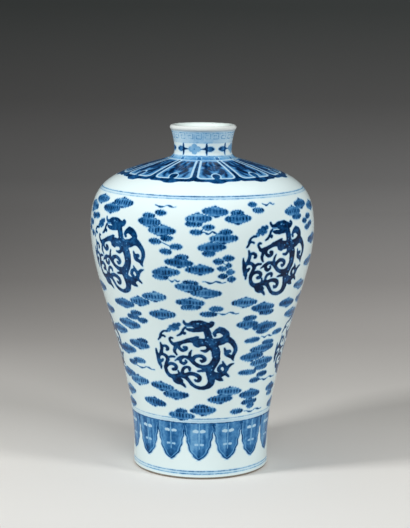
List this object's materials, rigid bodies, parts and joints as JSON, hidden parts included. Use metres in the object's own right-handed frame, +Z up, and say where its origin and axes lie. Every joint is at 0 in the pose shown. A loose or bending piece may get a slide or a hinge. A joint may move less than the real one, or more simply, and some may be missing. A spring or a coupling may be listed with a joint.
{
  "type": "meiping vase",
  "caption": "Tall porcelain flower vase with a narrow neck, high round shoulder and tapering foot, glazed white and painted in underglaze blue with dragon roundels and clouds.",
  "frame": {"origin": "centre of the foot ring, on the plane that the vase stands on", "axes": "+Z up along the axis of the vase, from the foot to the mouth"},
  "size_m": [0.2206, 0.2206, 0.34],
  "materials": {
    "porcelain": "matt, unglazed",
    "slip": "matt, unglazed",
    "painted_glaze": "gloss",
    "plain_glaze": "gloss"
  },
  "bodies": {
    "root": {"lower_body": "porcelain", "upper_body": "porcelain", "neck": "porcelain", "waist_lute": "slip", "neck_lute": "slip", "outer_glaze": "painted_glaze", "inner_glaze": "plain_glaze", "base_glaze": "plain_glaze"}
  },
  "joints": []
}
